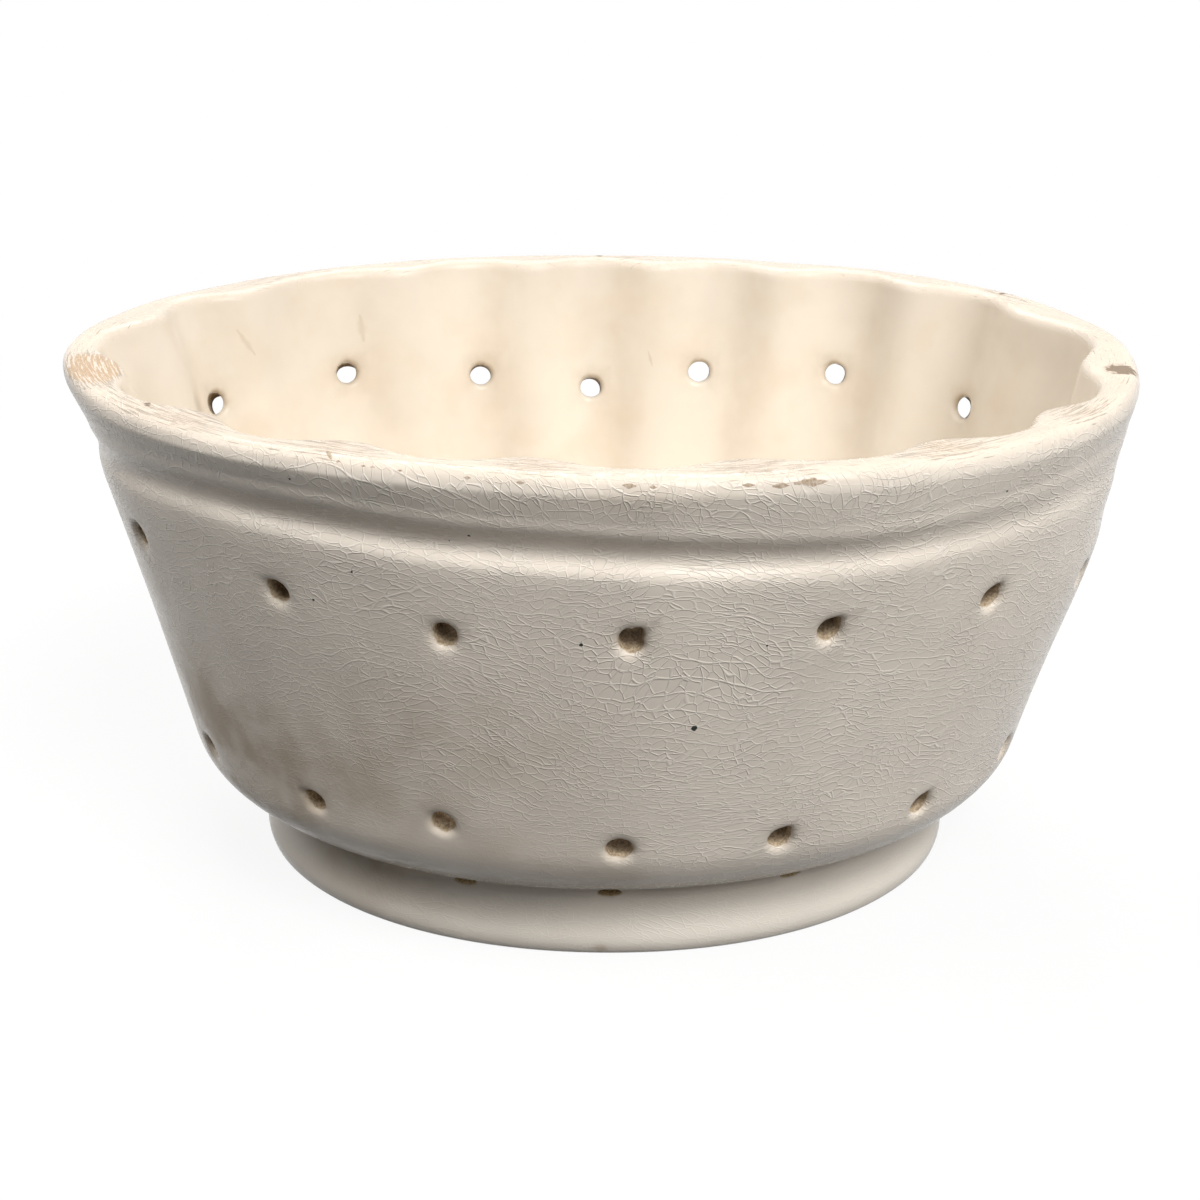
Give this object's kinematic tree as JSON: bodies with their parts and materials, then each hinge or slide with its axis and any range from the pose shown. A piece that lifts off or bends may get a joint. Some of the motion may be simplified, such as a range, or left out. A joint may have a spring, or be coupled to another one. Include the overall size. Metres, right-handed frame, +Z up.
{
  "type": "curd mould",
  "caption": "Oval fluted curd mould in glazed earthenware, with a tapering pierced wall, a moulded rim, a pierced floor and a foot ring that lets whey drain away.",
  "frame": {"origin": "middle of the foot ring's resting plane, under the centre of the oval", "axes": "+X along the oval's length, +Y across it, +Z up towards the lip"},
  "size_m": [0.19, 0.148, 0.097],
  "materials": {
    "cream_glaze": "glossy crazed cream glaze with brown clay in the pierced holes",
    "floor_glaze": "glossy warm cream glaze",
    "foot_glaze": "glossy cream glaze, worn to bare clay on the standing edge"
  },
  "bodies": {
    "root": {"fluted_wall": "cream_glaze", "pierced_floor": "floor_glaze", "foot_ring": "foot_glaze"}
  },
  "joints": []
}
